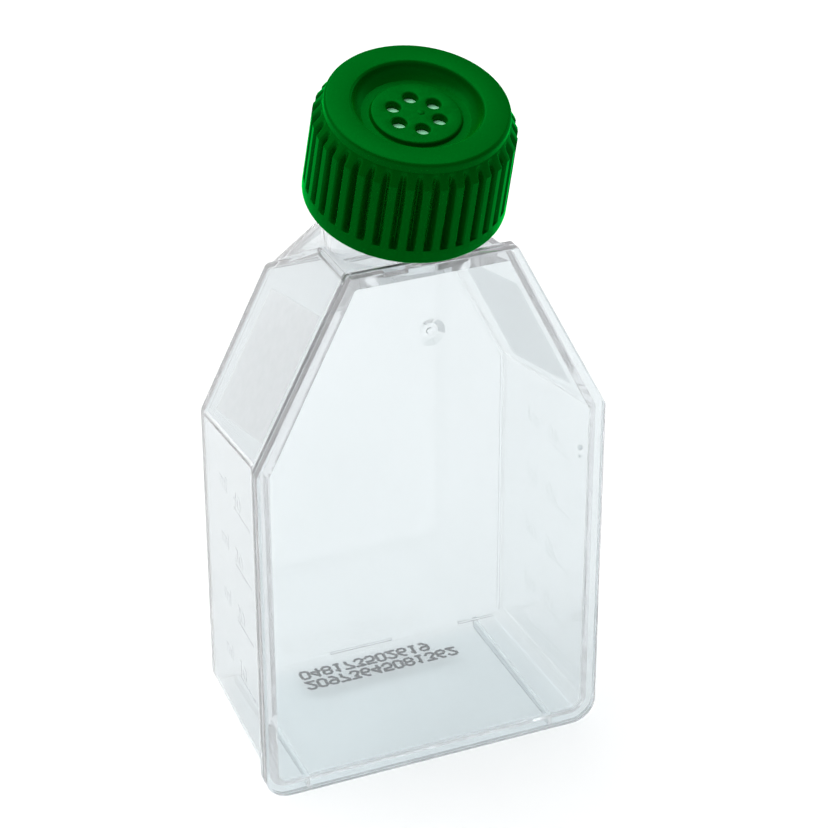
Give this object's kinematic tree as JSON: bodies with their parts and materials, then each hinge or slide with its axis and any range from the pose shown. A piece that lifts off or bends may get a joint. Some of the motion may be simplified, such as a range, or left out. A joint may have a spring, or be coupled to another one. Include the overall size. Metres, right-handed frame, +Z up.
{
  "type": "cell culture flask",
  "caption": "Clear flat-sided cell culture flask with sloping shoulders, a canted neck and a ribbed green screw cap with a vented top.",
  "frame": {"origin": "on the ground, in the middle of the flange's lower edge", "axes": "+Z up, from the end wall towards the cap; +Y from the welded plate to the growth wall; +X to the right seen from the plate's side"},
  "size_m": [0.05, 0.034, 0.1003],
  "materials": {
    "clear_body": "clear polystyrene, gloss",
    "clear_plate": "clear polystyrene, gloss",
    "green_cap": "moulded polyethylene, soft gloss",
    "membrane": "matt porous film"
  },
  "bodies": {
    "flask": {"flask_body": "clear_body", "top_plate": "clear_plate"},
    "membrane_disc": {"vent_membrane": "membrane"},
    "cap": {"cap_shell": "green_cap"}
  },
  "joints": [
    {"name": "cap_rise", "type": "slide", "parent": "flask", "child": "membrane_disc", "axis": [0, -0.3049, 0.9524], "range_m": [0, 0.01385]},
    {"name": "cap_turn", "type": "hinge", "parent": "membrane_disc", "child": "cap", "pos_m": [0, 0.00434, 0.09542], "axis": [0, -0.3049, 0.9524], "range_deg": [0, 828]}
  ],
  "couplings": [
    {"joint": "cap_rise", "follows": "cap_turn", "m_per_rad": 0.00095493}
  ]
}
